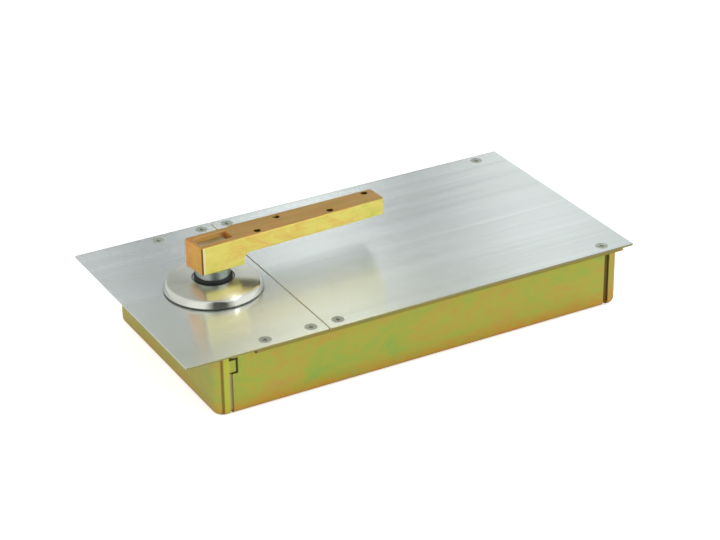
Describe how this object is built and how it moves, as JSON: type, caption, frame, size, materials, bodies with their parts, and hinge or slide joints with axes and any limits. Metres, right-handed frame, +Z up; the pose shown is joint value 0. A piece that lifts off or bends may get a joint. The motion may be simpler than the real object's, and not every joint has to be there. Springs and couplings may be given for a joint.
{
  "type": "floor spring door closer",
  "caption": "Floor spring door closer: folded cement case with screwed cover plates, upright cam spindle with collar, and a flat door arm keyed on its head.",
  "frame": {"origin": "centre of the cover outline in plan, on the underside of the cement case", "axes": "+X along the long side, from the spindle end to the far end; +Y to the back; +Z up, along the spindle"},
  "size_m": [0.379, 0.2, 0.0964],
  "materials": {
    "case_zinc": "yellow zinc chromate, iridescent, satin",
    "arm_zinc": "golden zinc chromate, satin",
    "cover_steel": "brushed along the long side",
    "screw_steel": "plain turned steel",
    "collar_polish": "mirror polished stainless",
    "machined_steel": "ground and turned",
    "bearing_steel": "ground and polished",
    "spring_steel": "oiled black",
    "cast_iron": "as cast with machined faces",
    "black_rubber": "matt",
    "bronze": "sintered bronze",
    "brass": "turned",
    "gasket_fibre": "pressed fibre",
    "dark_screw": "black oxide"
  },
  "bodies": {
    "case": {"cement_case": "case_zinc", "case_end_left": "case_zinc", "case_end_right": "case_zinc", "cover_rail_front": "case_zinc", "cover_rail_back": "case_zinc", "cover_plate_short": "cover_steel", "cover_plate_long": "cover_steel", "cover_screws_short": "screw_steel", "cover_screws_long": "screw_steel", "spindle_collar": "collar_polish", "collar_lock_ring": "spring_steel", "thrust_lower_race": "bearing_steel", "upper_bush": "bronze", "lower_bush": "bronze", "lip_seal": "black_rubber", "body_casting": "cast_iron", "body_gasket": "gasket_fibre", "body_lid": "cast_iron", "lid_screws": "dark_screw", "main_spring": "spring_steel", "end_plug": "machined_steel", "filler_plug": "dark_screw", "channel_plug": "brass", "floor_pads": "case_zinc", "hold_down_screws": "screw_steel", "hold_down_washers": "screw_steel", "levelling_screws": "dark_screw", "side_screws": "dark_screw"},
    "spindle_group": {"spindle": "machined_steel", "heart_cam": "machined_steel", "cam_key": "machined_steel", "thrust_upper_race": "bearing_steel", "door_arm": "arm_zinc", "seal_ring": "black_rubber"},
    "thrust_set": {"thrust_balls": "bearing_steel", "thrust_cage": "brass"},
    "carriage": {"roller_fork": "machined_steel", "roller_pin": "bearing_steel", "piston": "machined_steel", "piston_seal": "black_rubber", "check_ball": "bearing_steel", "check_plug": "brass"},
    "roller": {"cam_roller": "bearing_steel"},
    "seat": {"spring_seat": "machined_steel"},
    "preload": {"preload_screw": "machined_steel"},
    "closing_valve_stem": {"closing_valve": "brass"},
    "latching_valve_stem": {"latching_valve": "brass"}
  },
  "joints": [
    {"name": "spindle_turn", "type": "hinge", "parent": "case", "child": "spindle_group", "pos_m": [-0.1199, 0, 0.0564], "axis": [0, 0, 1], "range_deg": [0, 110]},
    {"name": "thrust_cage_turn", "type": "hinge", "parent": "case", "child": "thrust_set", "pos_m": [-0.1199, 0, 0.014], "axis": [0, 0, 1], "range_deg": [0, 55.5]},
    {"name": "carriage_slide", "type": "slide", "parent": "case", "child": "carriage", "axis": [1, 0, 0], "range_m": [0, 0.01364], "deforming": ["main_spring"]},
    {"name": "roller_spin", "type": "hinge", "parent": "carriage", "child": "roller", "pos_m": [-0.0999, 0, 0.028], "axis": [0, 0, 1], "continuous": true},
    {"name": "preload_turn", "type": "hinge", "parent": "case", "child": "preload", "pos_m": [0.1341, 0, 0.028], "axis": [1, 0, 0], "range_deg": [0, 800]},
    {"name": "seat_slide", "type": "slide", "parent": "case", "child": "seat", "axis": [-1, 0, 0], "range_m": [0, 0.004]},
    {"name": "closing_valve_turn", "type": "hinge", "parent": "case", "child": "closing_valve_stem", "pos_m": [-0.0539, 0.025, 0.028], "axis": [0, 0, 1], "range_deg": [-180, 180]},
    {"name": "latching_valve_turn", "type": "hinge", "parent": "case", "child": "latching_valve_stem", "pos_m": [-0.0339, 0.025, 0.028], "axis": [0, 0, 1], "range_deg": [-180, 180]}
  ],
  "couplings": [
    {"joint": "carriage_slide", "follows": "spindle_turn", "m_per_rad": 0.007},
    {"joint": "thrust_cage_turn", "follows": "spindle_turn", "ratio": 0.5},
    {"joint": "preload_turn", "follows": "seat_slide", "rad_per_m": 3141.6}
  ]
}
